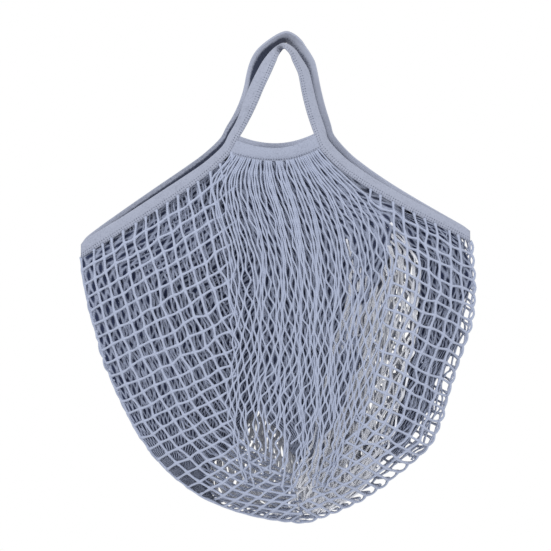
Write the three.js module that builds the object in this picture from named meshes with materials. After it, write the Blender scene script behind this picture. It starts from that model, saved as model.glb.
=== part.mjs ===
// String shopping bag hanging by its two handles: a knitted cotton net pouch, gathered into a
// band at the front and at the back, with a binding tape that edges each side of the mouth and
// runs on as the handle. Millimetres, +Z up, +X to the viewer's right, front towards -Y.
// The origin is the point under the top of the front handle where the bag hangs.

import * as THREE from 'three';

// The net pouch
const pouchHeight = 359;        // lower edge of the front band down to the lowest point of the net
const leftReach = 203;          // hang point to the left corner of the net, sideways
const rightReach = 186;         // hang point to the right corner of the net, sideways
const leftShoulderDrop = 103;   // left end of the band down to the left corner
const rightShoulderDrop = 92;   // right end of the band down to the right corner
const leftShoulderSag = 6;      // how far the left shoulder hangs below its chord
const rightShoulderSag = 9.5;   // how far the right shoulder hangs below its chord
const shoulderSkew = 0.6;       // below 1 the shoulders hang deepest on the side of the band
const bottomOffset = 21;        // lowest point of the net, sideways from the hang point
const bellyDepth = 84;          // front to back where the pouch is fullest
const foldHeight = 5;           // rise of the folds that fan out below the bands
const foldLength = 0.5;         // run of the folds below the bands, as a share of all rows
const netThickness = 2;         // knitted cord, one layer
const ribWidth = 7;             // one rib of the coarse net stands for several cords

// The mouth
const mouthDepth = 52;          // front band to back band
const bandHeight = 13;
const bandLength = 90;          // along the lower edge, from tape to tape
const bandOffset = -9;          // middle of the bands, sideways from the hang point
const bandThickness = 2.4;
const bandBulge = 3;            // the middle of a band stands this far outside its ends
const bandRiseLeft = 8;         // left end of a band above its middle
const bandRiseRight = 13;       // right end of a band above its middle
const bandTaperLeft = 7;        // the upper edge stops this far inside the lower edge
const bandTaperRight = 5;

// The tapes and handles
const handleDrop = 100;         // hang point down to the upper edge of the front band
const tapeWidth = 17.5;
const tapeThickness = 2.4;
const tapeEdge = 0.8;           // softened edge of the tapes and the bands
const apexHalfDepth = 17.5;     // inner edge of each handle to the middle plane, at the top

// The back half hangs a little higher and wider than the front half
const backBandLift = 7;
const backBandExtra = 6;        // longer at its right end than the front band
const backApexLift = 12;
const backApexShift = 3;
const backLegSpread = 2;        // its legs bow outwards, away from the front ones

const seamGap = 0.3;            // between pieces that are sewn to each other

// The lattice of the net: cells along a full strand, and cells gathered into a band
const netCells = 8;
const gatheredCells = 5;
const cellSteps = 3;            // straight steps along one side of a cell
const legSteps = 12;            // straight steps along one leg of a handle

const halves = [
  { name: 'front', side: -1, bandLift: 0, bandExtra: 0, apexLift: 0, apexShift: 0, legSpread: 0 },
  {
    name: 'back',
    side: 1,
    bandLift: backBandLift,
    bandExtra: backBandExtra,
    apexLift: backApexLift,
    apexShift: backApexShift,
    legSpread: backLegSpread,
  },
];

// Middle line of the pouch, by share of the rows of cells. drop is a share of the pouch height,
// drift a share of the width, gather is how much closer the strands lie at the middle than at
// the sides, mouth and belly are shares of the two half depths.
const middleLine = [
  { row: 0.3125, drop: 0.00, drift: 0.000, gather: 0.00, mouth: 1.00, belly: 0.00 },
  { row: 0.4063, drop: 0.19, drift: 0.022, gather: 0.42, mouth: 0.50, belly: 0.45 },
  { row: 0.5000, drop: 0.38, drift: 0.035, gather: 0.50, mouth: 0.20, belly: 0.76 },
  { row: 0.5938, drop: 0.55, drift: 0.048, gather: 0.50, mouth: 0.05, belly: 0.94 },
  { row: 0.6875, drop: 0.70, drift: 0.049, gather: 0.42, mouth: 0.00, belly: 1.00 },
  { row: 0.7813, drop: 0.83, drift: 0.039, gather: 0.30, mouth: 0.00, belly: 0.88 },
  { row: 0.8750, drop: 0.925, drift: 0.021, gather: 0.12, mouth: 0.00, belly: 0.60 },
  { row: 0.9375, drop: 0.97, drift: 0.010, gather: 0.00, mouth: 0.00, belly: 0.36 },
  { row: 1.0000, drop: 1.00, drift: 0.000, gather: 0.00, mouth: 0.00, belly: 0.00 },
];

// Outline of the pouch from each corner to the lowest point, as shares of that run and drop
const leftOutline = [
  { across: 0.000, down: 0.000 }, { across: 0.009, down: 0.068 }, { across: 0.040, down: 0.193 },
  { across: 0.099, down: 0.375 }, { across: 0.176, down: 0.534 }, { across: 0.275, down: 0.693 },
  { across: 0.383, down: 0.803 }, { across: 0.518, down: 0.894 }, { across: 0.703, down: 0.962 },
  { across: 0.851, down: 0.989 }, { across: 1.000, down: 1.000 },
];
const rightOutline = [
  { across: 0.000, down: 0.000 }, { across: -0.006, down: 0.068 }, { across: -0.018, down: 0.175 },
  { across: 0.000, down: 0.282 }, { across: 0.055, down: 0.389 }, { across: 0.109, down: 0.482 },
  { across: 0.158, down: 0.582 }, { across: 0.248, down: 0.721 }, { across: 0.376, down: 0.793 },
  { across: 0.533, down: 0.868 }, { across: 0.721, down: 0.936 }, { across: 1.000, down: 1.000 },
];

// Folds that fan out from the bands: place and breadth across the row, and share of the height
const folds = [
  { across: -0.62, breadth: 0.16, height: 0.8 },
  { across: -0.22, breadth: 0.13, height: -0.7 },
  { across: 0.12, breadth: 0.12, height: 1.0 },
  { across: 0.46, breadth: 0.15, height: -0.8 },
  { across: 0.76, breadth: 0.12, height: 0.6 },
];

// Inner edge of a handle's two legs: shares of the drop and of the reach from the top to the
// band, and the turn of the tape in degrees from facing the front to lying over the top
const legs = [
  { down: 0.00, left: 0.00, right: 0.00, turnLeft: 70, turnRight: 70 },
  { down: 0.05, left: 0.10, right: 0.17, turnLeft: 60, turnRight: 62 },
  { down: 0.15, left: 0.19, right: 0.29, turnLeft: 36, turnRight: 48 },
  { down: 0.29, left: 0.31, right: 0.47, turnLeft: 14, turnRight: 36 },
  { down: 0.43, left: 0.44, right: 0.55, turnLeft: 6, turnRight: 30 },
  { down: 0.60, left: 0.58, right: 0.65, turnLeft: 2, turnRight: 26 },
  { down: 0.77, left: 0.74, right: 0.78, turnLeft: 0, turnRight: 24 },
  { down: 0.90, left: 0.88, right: 0.90, turnLeft: 0, turnRight: 22 },
  { down: 1.00, left: 1.00, right: 1.00, turnLeft: 0, turnRight: 20 },
];

// Share of the tape's width, from the left corner (0) over the top (0.5) to the right corner
// (1): it is folded narrower along the handle and rolled on the right
const tapeWidths = [
  { along: 0.00, width: 0.74 }, { along: 0.05, width: 0.90 }, { along: 0.12, width: 0.96 },
  { along: 0.20, width: 0.82 }, { along: 0.28, width: 0.75 }, { along: 0.50, width: 0.74 },
  { along: 0.77, width: 0.71 }, { along: 0.86, width: 0.65 }, { along: 1.00, width: 0.58 },
];

const bandMiddleHeight = -(handleDrop + bandHeight);
const lowestHeight = bandMiddleHeight - pouchHeight;

// The value of a column at a place along a table: a smooth curve through its rows
function readTable(table, keyColumn, place, column) {
  const last = table.length - 1;
  let i = 0;
  while (i < last - 1 && place > table[i + 1][keyColumn]) i += 1;
  const slopeAt = (k) => {
    const before = table[Math.max(k - 1, 0)];
    const after = table[Math.min(k + 1, last)];
    return (after[column] - before[column]) / (after[keyColumn] - before[keyColumn]);
  };
  const step = table[i + 1][keyColumn] - table[i][keyColumn];
  const t = THREE.MathUtils.clamp((place - table[i][keyColumn]) / step, 0, 1);
  const start = table[i][column];
  const end = table[i + 1][column];
  const startSlope = slopeAt(i) * step;
  const endSlope = slopeAt(i + 1) * step;
  return (2 * t ** 3 - 3 * t ** 2 + 1) * start + (t ** 3 - 2 * t ** 2 + t) * startSlope
    + (3 * t ** 2 - 2 * t ** 3) * end + (t ** 3 - t ** 2) * endSlope;
}

// Lower edge of a band, from its left end (-1) to its right end (1)
function bandPoint(half, across) {
  const rise = across < 0 ? bandRiseLeft : bandRiseRight;
  const reach = bandLength / 2 + (across < 0 ? 0 : half.bandExtra);
  return new THREE.Vector3(
    bandOffset + across * reach,
    half.side * (mouthDepth / 2 - bandBulge * across ** 2),
    bandMiddleHeight + half.bandLift + rise * across ** 2,
  );
}

// Upper edge of a band, which ends where the tapes slope inwards
function bandTopPoint(half, across) {
  const point = bandPoint(half, across);
  point.x -= across * (across < 0 ? bandTaperLeft : bandTaperRight);
  point.z += bandHeight;
  return point;
}

// The net's corner at the far end of a shoulder, where front and back meet
function cornerPoint(sideways) {
  const bandEndHeight = bandMiddleHeight + (sideways < 0 ? bandRiseLeft : bandRiseRight);
  return sideways < 0
    ? new THREE.Vector3(-leftReach, 0, bandEndHeight - leftShoulderDrop)
    : new THREE.Vector3(rightReach, 0, bandEndHeight - rightShoulderDrop);
}

// A shoulder of the mouth, from the band's end (0) to the corner (1)
function shoulderPoint(half, sideways, share) {
  const sag = sideways < 0 ? leftShoulderSag : rightShoulderSag;
  const point = bandPoint(half, sideways).lerp(cornerPoint(sideways), share);
  point.z -= sag * Math.sin(Math.PI * share ** shoulderSkew);
  return point;
}

// The outline of the pouch from a corner (0) to the lowest point (1), by its own length
function outlineCurve(sideways, table) {
  const corner = cornerPoint(sideways);
  return new THREE.CatmullRomCurve3(table.map((row) => new THREE.Vector3(
    THREE.MathUtils.lerp(corner.x, bottomOffset, row.across),
    0,
    THREE.MathUtils.lerp(corner.z, lowestHeight, row.down),
  )), false, 'centripetal');
}
const outlines = { left: outlineCurve(-1, leftOutline), right: outlineCurve(1, rightOutline) };

// Where a row of cells ends: on a shoulder above the corners, on the outline below them
function rowEnd(half, sideways, row) {
  if (row <= netCells) {
    const share = (row - gatheredCells) / (netCells - gatheredCells);
    return shoulderPoint(half, sideways, THREE.MathUtils.clamp(share, 0, 1));
  }
  const outline = sideways < 0 ? outlines.left : outlines.right;
  return outline.getPointAt(THREE.MathUtils.clamp((row - netCells) / netCells, 0, 1));
}

// A point on the middle of the net's wall. Strand a counts from the left shoulder, strand b from
// the right one. A row has one a + b, from the band down to twice the number of cells.
function netPoint(half, a, b) {
  const row = a + b;
  const share = row / (2 * netCells);
  const reach = Math.min(row, 2 * netCells - row);
  const across = reach > 1e-9 ? THREE.MathUtils.clamp((a - b) / reach, -1, 1) : 0;
  const below = THREE.MathUtils.clamp((row - gatheredCells) / (netCells - gatheredCells), 0, 1);
  const read = (column) => readTable(middleLine, 'row', share, column);

  const drop = read('drop');
  const width = leftReach + rightReach;
  const middle = new THREE.Vector3(
    THREE.MathUtils.lerp(bandOffset, bottomOffset, drop) + read('drift') * width,
    half.side * (mouthDepth / 2 * read('mouth') + bellyDepth / 2 * read('belly')),
    bandMiddleHeight - pouchHeight * drop + half.bandLift * (1 - below) ** 2,
  );
  const end = rowEnd(half, across < 0 ? -1 : 1, row);
  const gather = read('gather');
  const out = Math.min((1 - gather) * Math.abs(across) + gather * across ** 2, 1);
  const bell = (1 - Math.cos(Math.PI * out)) / 2;
  const climb = THREE.MathUtils.lerp(out ** 2, 0.6 * out ** 2 + 0.4 * bell, below);
  const roundness = (1 - Math.abs(out) ** 2) ** (1 - 0.25 * below);

  const foldRun = THREE.MathUtils.clamp((share - middleLine[0].row) / foldLength, 0, 1);
  const foldFade = (1 - out ** 4) * Math.sin(Math.PI * foldRun) ** 2;
  const fold = folds.reduce((sum, ridge) => (
    sum + ridge.height * Math.exp(-(((across - ridge.across) / ridge.breadth) ** 2))), 0);
  return new THREE.Vector3(
    THREE.MathUtils.lerp(middle.x, end.x, out),
    THREE.MathUtils.lerp(end.y, middle.y, roundness) + half.side * foldHeight * fold * foldFade,
    THREE.MathUtils.lerp(middle.z, end.z, climb),
  );
}

// A closed body from its corner points and its three-sided faces, all facing out
function closedBody(points, faces) {
  const volume = faces.reduce((sum, [i, j, k]) => (
    sum + points[i].dot(new THREE.Vector3().crossVectors(points[j], points[k]))), 0);
  const facing = volume > 0 ? faces : faces.map(([i, j, k]) => [i, k, j]);
  const geometry = new THREE.BufferGeometry().setFromPoints(points);
  geometry.setIndex(facing.flat());
  geometry.computeVertexNormals();
  return geometry;
}

// A body through a row of closed rings that all have the same number of points
function bodyThroughRings(rings) {
  const size = rings[0].length;
  const faces = [];
  for (let r = 0; r < rings.length - 1; r += 1) {
    for (let k = 0; k < size; k += 1) {
      const [p, q] = [r * size + k, r * size + (k + 1) % size];
      faces.push([p, q, q + size], [p, q + size, p + size]);
    }
  }
  const lastRing = (rings.length - 1) * size;
  for (let k = 1; k < size - 1; k += 1) {
    faces.push([0, k + 1, k], [lastRing, lastRing + k, lastRing + k + 1]);
  }
  return closedBody(rings.flat(), faces);
}

// The eight-sided section of a tape or band between its two edges, soft at both edges
function tapeSection(inner, outer, forward, thickness) {
  const width = inner.distanceTo(outer);
  const direction = outer.clone().sub(inner).divideScalar(width);
  const face = forward.clone().addScaledVector(direction, -forward.dot(direction)).normalize();
  const flat = thickness / 2 - tapeEdge;
  const outline = [
    [0, flat], [tapeEdge, thickness / 2], [width - tapeEdge, thickness / 2], [width, flat],
    [width, -flat], [width - tapeEdge, -thickness / 2], [tapeEdge, -thickness / 2], [0, -flat],
  ];
  return outline.map(([w, n]) => (
    inner.clone().addScaledVector(direction, w).addScaledVector(face, n)));
}

// The line on which the net and the bands meet the tape, with the tape's turn at each point,
// from the left corner up the shoulder, over the handle and down to the right corner
function tapeLine(half) {
  const shoulderSteps = (netCells - gatheredCells) * cellSteps;
  const apex = new THREE.Vector3(half.apexShift, half.side * apexHalfDepth, half.apexLift);
  const leg = (sideways, down) => {
    const foot = bandTopPoint(half, sideways);
    const out = readTable(legs, 'down', down, sideways < 0 ? 'left' : 'right');
    const spread = sideways * half.legSpread * Math.sin(Math.PI * Math.sqrt(down));
    const turn = readTable(legs, 'down', down, sideways < 0 ? 'turnLeft' : 'turnRight');
    return {
      turn,
      point: new THREE.Vector3(
        THREE.MathUtils.lerp(apex.x, foot.x, out) + spread,
        THREE.MathUtils.lerp(apex.y, foot.y, down),
        THREE.MathUtils.lerp(apex.z, foot.z, down),
      ),
    };
  };
  const shoulder = (sideways, share) => {
    const endTurn = legs[legs.length - 1][sideways < 0 ? 'turnLeft' : 'turnRight'];
    return { point: shoulderPoint(half, sideways, share), turn: endTurn * (1 - share) };
  };
  const stations = [];
  for (let i = shoulderSteps; i >= 0; i -= 1) stations.push(shoulder(-1, i / shoulderSteps));
  for (let i = legSteps; i > 0; i -= 1) stations.push(leg(-1, (i / legSteps) ** 1.4));
  for (let i = 0; i <= legSteps; i += 1) stations.push(leg(1, (i / legSteps) ** 1.4));
  for (let i = 0; i <= shoulderSteps; i += 1) stations.push(shoulder(1, i / shoulderSteps));

  const cornerHalfDepth = tapeThickness / 2 + seamGap / 2;
  stations[0].point.y = half.side * cornerHalfDepth;
  stations[stations.length - 1].point.y = half.side * cornerHalfDepth;
  stations.forEach((station, i) => {
    const before = stations[Math.max(i - 2, 0)].point;
    const after = stations[Math.min(i + 2, stations.length - 1)].point;
    const run = after.clone().sub(before).setY(0).normalize();
    const turn = THREE.MathUtils.degToRad(station.turn);
    const outward = new THREE.Vector3(-run.z, 0, run.x);
    station.across = outward.multiplyScalar(Math.cos(turn));
    station.across.y = -half.side * Math.sin(turn);
    station.seam = station.across.clone();
  });
  stations[0].across.set(0, 0, 1);
  stations[stations.length - 1].across.set(0, 0, 1);
  return stations;
}

function buildTape(half) {
  const stations = tapeLine(half);
  const forward = new THREE.Vector3(0, half.side, 0);
  const lying = new THREE.Vector3(0, 0, 1);
  const rings = stations.map(({ point, seam, across, turn }, i) => {
    const along = i / (stations.length - 1);
    const width = tapeWidth * readTable(tapeWidths, 'along', along, 'width');
    const inner = point.clone().addScaledVector(seam, seamGap);
    const facing = forward.clone().addScaledVector(lying, Math.sin(THREE.MathUtils.degToRad(turn)));
    return tapeSection(inner, inner.clone().addScaledVector(across, width), facing, tapeThickness);
  });
  return bodyThroughRings(rings);
}

function buildBand(half) {
  const steps = gatheredCells * cellSteps;
  const forward = new THREE.Vector3(0, half.side, 0);
  const rings = [];
  for (let i = 0; i <= steps; i += 1) {
    const across = 2 * i / steps - 1;
    const lower = bandPoint(half, across);
    const upper = bandTopPoint(half, across);
    lower.x -= across * seamGap;
    upper.x -= across * seamGap;
    lower.z += seamGap;
    rings.push(tapeSection(lower, upper, forward, bandThickness));
  }
  return bodyThroughRings(rings);
}

// Corner places of one cell in the lattice: a diamond, or the half of one that meets the band
function cellCorners(i, j) {
  const whole = [[i, j], [i + 1, j], [i + 1, j + 1], [i, j + 1]];
  return i + j === gatheredCells - 1 ? whole.slice(1) : whole;
}

// Share of a cell that a half rib takes on each side, from the cell's real size
function ribShares(half, i, j) {
  const [u, v] = [i + 0.5, j + 0.5];
  const alongA = netPoint(half, i + 1, v).sub(netPoint(half, i, v));
  const alongB = netPoint(half, u, j + 1).sub(netPoint(half, u, j));
  const area = new THREE.Vector3().crossVectors(alongA, alongB).length();
  const share = (length) => Math.min(ribWidth / 2 * length / area, 0.27);
  return [share(alongB.length()), share(alongA.length())];
}

// The middle surface of the whole net, front and back joined along the outline
function netSurface() {
  const places = new Map();
  const points = [];
  const faces = [];
  const vertex = (half, a, b) => {
    const shared = Math.abs(Math.max(a, b) - netCells) < 1e-6;
    const key = `${shared ? 'outline' : half.name} ${a.toFixed(4)} ${b.toFixed(4)}`;
    if (!places.has(key)) {
      places.set(key, { index: points.length, half, a, b });
      points.push(netPoint(half, a, b));
    }
    return places.get(key).index;
  };

  const addCell = (half, i, j) => {
    const corners = cellCorners(i, j);
    const middle = corners.reduce((sum, [a, b]) => [sum[0] + a, sum[1] + b], [0, 0])
      .map((value) => value / corners.length);
    const [shareA, shareB] = ribShares(half, i, j);
    const outer = [];
    const inner = [];
    corners.forEach(([a, b], c) => {
      const [nextA, nextB] = corners[(c + 1) % corners.length];
      for (let k = 0; k < cellSteps; k += 1) {
        const t = k / cellSteps;
        const [edgeA, edgeB] = [a + (nextA - a) * t, b + (nextB - b) * t];
        const pull = (k === 0 ? 0.84 : 1) * (corners.length === 3 ? 0.8 : 1);
        outer.push(vertex(half, edgeA, edgeB));
        inner.push(vertex(
          half,
          middle[0] + (edgeA - middle[0]) * (1 - 2 * shareA) * pull,
          middle[1] + (edgeB - middle[1]) * (1 - 2 * shareB) * pull,
        ));
      }
    });
    outer.forEach((p, k) => {
      const next = (k + 1) % outer.length;
      const quad = [p, outer[next], inner[next], inner[k]];
      const [w, x, y, z] = half.side < 0 ? quad : quad.reverse();
      faces.push([w, x, y], [w, y, z]);
    });
  };

  halves.forEach((half) => {
    for (let i = 0; i < netCells; i += 1) {
      for (let j = 0; j < netCells; j += 1) {
        if (i + j >= gatheredCells - 1) addCell(half, i, j);
      }
    }
  });
  return { points, faces, places: [...places.values()] };
}

// Directions in the wall along which a tape or a band leaves the net at this place
function seamDirections({ half, a, b }) {
  const directions = [];
  const nearZero = (value) => Math.abs(value) < 1e-6;
  const stations = half.stations;
  const shoulderSteps = (netCells - gatheredCells) * cellSteps;
  const step = Math.round((a + b - gatheredCells) * cellSteps);
  if (nearZero(a)) directions.push(stations[shoulderSteps - step].seam);
  if (nearZero(b)) directions.push(stations[stations.length - 1 - shoulderSteps + step].seam);
  if (nearZero(a + b - gatheredCells)) directions.push(new THREE.Vector3(0, 0, 1));
  return directions;
}

function buildPouch() {
  halves.forEach((half) => {
    half.stations = tapeLine(half);
  });
  const { points, faces, places } = netSurface();
  const surface = new THREE.BufferGeometry().setFromPoints(points);
  surface.setIndex(faces.flat());
  surface.computeVertexNormals();
  const normals = surface.getAttribute('normal');

  // The wall's end faces stay square to the tapes and bands that are sewn on there
  const outside = [];
  const inside = [];
  places.forEach((place, i) => {
    const normal = new THREE.Vector3().fromBufferAttribute(normals, i);
    const directions = seamDirections(place);
    for (let pass = 0; pass < 8; pass += 1) {
      directions.forEach((direction) => normal.addScaledVector(direction, -normal.dot(direction)));
    }
    normal.normalize();
    outside.push(points[i].clone().addScaledVector(normal, netThickness / 2));
    inside.push(points[i].clone().addScaledVector(normal, -netThickness / 2));
  });

  const shift = points.length;
  const edges = new Set(faces.flatMap(([i, j, k]) => [`${i} ${j}`, `${j} ${k}`, `${k} ${i}`]));
  const walls = [];
  edges.forEach((edge) => {
    const [i, j] = edge.split(' ').map(Number);
    if (!edges.has(`${j} ${i}`)) walls.push([j, i, i + shift], [j, i + shift, j + shift]);
  });
  const innerFaces = faces.map(([i, j, k]) => [i + shift, k + shift, j + shift]);
  return closedBody([...outside, ...inside], [...faces, ...innerFaces, ...walls]);
}

const cotton = (color, roughness) => new THREE.MeshStandardMaterial({ color, roughness, metalness: 0 });
const netCotton = cotton(0x8f99b4, 0.95);
const tapeCotton = cotton(0xacb1c2, 0.9);
const bandCotton = cotton(0xa5adc0, 0.9);

function piece(name, geometry, material) {
  const mesh = new THREE.Mesh(geometry, material);
  mesh.name = name;
  return mesh;
}

const bag = new THREE.Group();
bag.add(piece('net_pouch', buildPouch(), netCotton));
halves.forEach((half) => {
  bag.add(piece(`${half.name}_mouth_band`, buildBand(half), bandCotton));
  bag.add(piece(`${half.name}_binding_tape`, buildTape(half), tapeCotton));
});

export default bag;
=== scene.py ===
"""A knitted string shopping bag hanging by its two handles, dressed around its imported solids.

Metres, +Z up, +X to the viewer's right, the front of the bag towards -Y. The origin is the point
under the top of the front handle where the bag hangs.
"""

import logging
import math
from dataclasses import dataclass, field
from enum import Enum

import bpy
import numpy as np
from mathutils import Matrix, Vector


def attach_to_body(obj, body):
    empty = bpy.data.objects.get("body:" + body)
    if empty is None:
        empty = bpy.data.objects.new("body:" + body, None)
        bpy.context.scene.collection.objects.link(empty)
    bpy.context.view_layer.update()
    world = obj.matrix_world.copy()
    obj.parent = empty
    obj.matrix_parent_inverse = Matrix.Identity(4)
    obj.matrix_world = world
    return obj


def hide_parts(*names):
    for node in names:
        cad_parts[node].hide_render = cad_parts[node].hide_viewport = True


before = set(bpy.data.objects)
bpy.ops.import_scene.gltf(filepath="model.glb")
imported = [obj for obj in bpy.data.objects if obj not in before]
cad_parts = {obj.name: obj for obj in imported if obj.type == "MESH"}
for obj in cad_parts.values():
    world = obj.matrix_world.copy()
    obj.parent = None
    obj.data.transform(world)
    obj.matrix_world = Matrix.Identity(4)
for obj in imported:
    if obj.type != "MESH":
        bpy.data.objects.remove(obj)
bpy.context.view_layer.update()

log = logging.getLogger("string_bag")

MM = 0.001
TINY = 1e-9


class Side(Enum):
    """The two sides of a half of the bag, as the viewer sees them."""

    LEFT = -1
    RIGHT = 1


@dataclass(frozen=True)
class Half:
    """The front or the back half of the bag, and how it hangs beside the front one."""

    name: str
    facing: int
    band_lift: float = 0.0
    band_extra: float = 0.0
    apex_lift: float = 0.0
    apex_shift: float = 0.0
    leg_spread: float = 0.0
    slimming: float = 0.0


FRONT = Half("front", -1, slimming=4.2 * MM)
BACK = Half("back", 1, 7 * MM, 6 * MM, 12 * MM, 3 * MM, 2 * MM)


def lerp(start: np.ndarray, end: np.ndarray, share: np.ndarray) -> np.ndarray:
    """Return the point or number that lies a share of the way from start to end."""
    return start + (end - start) * share


def hill(place: np.ndarray, middle: float, breadth: float, power: int = 2) -> np.ndarray:
    """Return 1 at the middle of a hill, fading to 0 on both sides: the higher the power, the steeper."""
    return np.exp(-(((place - middle) / breadth) ** power))


def lengths_along(points: np.ndarray) -> np.ndarray:
    """Return how far along their line points lie."""
    return np.concatenate([[0], np.cumsum(np.linalg.norm(np.diff(points, axis=0), axis=1))])


def whole_grid(rows: int, columns: int) -> list[np.ndarray]:
    """Return the row and the column of each node of a grid, both counted from 0."""
    return [x.astype(float) for x in np.meshgrid(np.arange(rows + 1), np.arange(columns + 1), indexing="ij")]


def bend_between(
    t: np.ndarray, start: np.ndarray, leave: np.ndarray, end: np.ndarray, arrive: np.ndarray,
) -> np.ndarray:
    """Return what lies between two ends on a smooth bend.

    Args:
        t: How far from the start it lies, as a share.
        start: The start.
        leave: The slope at the start.
        end: The end.
        arrive: The slope at the end.

    Returns:
        One value or point for each share.
    """
    return (
        (2 * t**3 - 3 * t**2 + 1) * start
        + (t**3 - 2 * t**2 + t) * leave
        + (3 * t**2 - 2 * t**3) * end
        + (t**3 - t**2) * arrive
    )


def unit(vectors: np.ndarray, spare: tuple[float, float, float] = (0.0, 0.0, -1.0)) -> np.ndarray:
    """Return vectors of length one.

    Args:
        vectors: Rows of three numbers.
        spare: What a vector without a length becomes.

    Returns:
        The rows at length one.
    """
    length = np.linalg.norm(vectors, axis=-1, keepdims=True)
    return np.where(length > TINY, vectors / np.maximum(length, TINY), np.array(spare))


@dataclass(frozen=True)
class Wave:
    """A wave over a piece: its height, and how far it turns for each step along and across."""

    height: float
    along: float
    across: float
    start: float = 0.0

    def at(self, along: np.ndarray, across: np.ndarray, later: np.ndarray | float = 0.0) -> np.ndarray:
        """Return how high the wave is at places, or at what comes later in its turn."""
        return self.height * np.sin(self.along * along + self.across * across + self.start + later)


class Table:
    """Rows of named columns that are read as smooth curves."""

    def __init__(self, key: str, names: str, *rows: tuple[float, ...]) -> None:
        """Keep the columns.

        Args:
            key: The column that the others are read by.
            names: The columns' names, parted by spaces.
            rows: The numbers of each row.
        """
        self.columns = dict(zip(names.split(), np.array(rows, float).T))
        self.keys = self.columns[key]

    def read(self, name: str, place: np.ndarray) -> np.ndarray:
        """Return a column's values at places along the key column.

        Args:
            name: The column to read.
            place: Where to read it, as values of the key column.

        Returns:
            One value for each place.
        """
        keys, values = self.keys, self.columns[name]
        last = len(keys) - 1
        before = np.maximum(np.arange(last + 1) - 1, 0)
        after = np.minimum(np.arange(last + 1) + 1, last)
        slopes = (values[after] - values[before]) / (keys[after] - keys[before])
        i = np.clip(np.searchsorted(keys, place, side="left") - 1, 0, last - 1)
        step = keys[i + 1] - keys[i]
        t = np.clip((place - keys[i]) / step, 0, 1)
        return bend_between(t, values[i], slopes[i] * step, values[i + 1], slopes[i + 1] * step)


def curve_through(points: np.ndarray, steps: int = 24) -> np.ndarray:
    """Return close points on a smooth curve through the given ones.

    Args:
        points: The places that the curve passes, as rows of three numbers.
        steps: How many steps the curve makes from one place to the next.

    Returns:
        The curve's points in order.
    """
    ends = [2 * points[0] - points[1], *points, 2 * points[-1] - points[-2]]
    dense = [points[:1]]
    t = (np.arange(1, steps + 1) / steps)[:, None]
    for p0, p1, p2, p3 in zip(ends[:-3], ends[1:-2], ends[2:-1], ends[3:]):
        d0, d1, d2 = (max(math.sqrt(np.linalg.norm(q - p)), TINY) for p, q in ((p0, p1), (p1, p2), (p2, p3)))
        start = ((p1 - p0) / d0 - (p2 - p0) / (d0 + d1) + (p2 - p1) / d1) * d1
        end = ((p2 - p1) / d1 - (p3 - p1) / (d1 + d2) + (p3 - p2) / d2) * d1
        dense.append(bend_between(t, p1, start, p2, end))
    return np.vstack(dense)


MIDDLE_LINE = Table(
    "row", "row drop drift gather mouth belly",
    (0.3125, 0.000, 0.000, 0.00, 1.00, 0.00), (0.4063, 0.190, 0.022, 0.42, 0.50, 0.45),
    (0.5000, 0.380, 0.035, 0.50, 0.20, 0.76), (0.5938, 0.550, 0.048, 0.50, 0.05, 0.94),
    (0.6875, 0.700, 0.049, 0.42, 0.00, 1.00), (0.7813, 0.830, 0.039, 0.30, 0.00, 0.88),
    (0.8750, 0.925, 0.021, 0.12, 0.00, 0.60), (0.9375, 0.970, 0.010, 0.00, 0.00, 0.36),
    (1.0000, 1.000, 0.000, 0.00, 0.00, 0.00),
)
OUTLINES = {
    Side.LEFT: Table(
        "down", "across down",
        (0.000, 0.000), (0.009, 0.068), (0.040, 0.193), (0.099, 0.375), (0.176, 0.534), (0.275, 0.693),
        (0.383, 0.803), (0.518, 0.894), (0.703, 0.962), (0.851, 0.989), (1.000, 1.000),
    ),
    Side.RIGHT: Table(
        "down", "across down",
        (0.000, 0.000), (-0.006, 0.068), (-0.018, 0.175), (0.000, 0.282), (0.055, 0.389), (0.109, 0.482),
        (0.158, 0.582), (0.248, 0.721), (0.376, 0.793), (0.533, 0.868), (0.721, 0.936), (1.000, 1.000),
    ),
}
# Each fold of the net: its place across, its breadth and its height.
FOLDS = ((-0.62, 0.16, 0.8), (-0.22, 0.13, -0.7), (0.12, 0.12, 1.0), (0.46, 0.15, -0.8), (0.76, 0.12, 0.6))
LEGS = Table(
    "down", "down left right turn_left turn_right",
    (0.00, 0.00, 0.00, 70, 70), (0.05, 0.10, 0.17, 60, 62), (0.15, 0.19, 0.29, 36, 48),
    (0.29, 0.31, 0.47, 14, 36), (0.43, 0.44, 0.55, 6, 30), (0.60, 0.58, 0.65, 2, 26),
    (0.77, 0.74, 0.78, 0, 24), (0.90, 0.88, 0.90, 0, 22), (1.00, 1.00, 1.00, 0, 20),
)
TAPE_WIDTHS = Table(
    "along", "along width",
    (0.00, 0.74), (0.05, 0.90), (0.12, 0.96), (0.20, 0.82), (0.28, 0.75),
    (0.50, 0.74), (0.77, 0.71), (0.86, 0.65), (1.00, 0.58),
)


def by_side(left: float, right: float) -> dict[Side, float]:
    """Return a dataclass field that holds one number for each side."""
    return field(default_factory=lambda: {Side.LEFT: left, Side.RIGHT: right})


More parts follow.
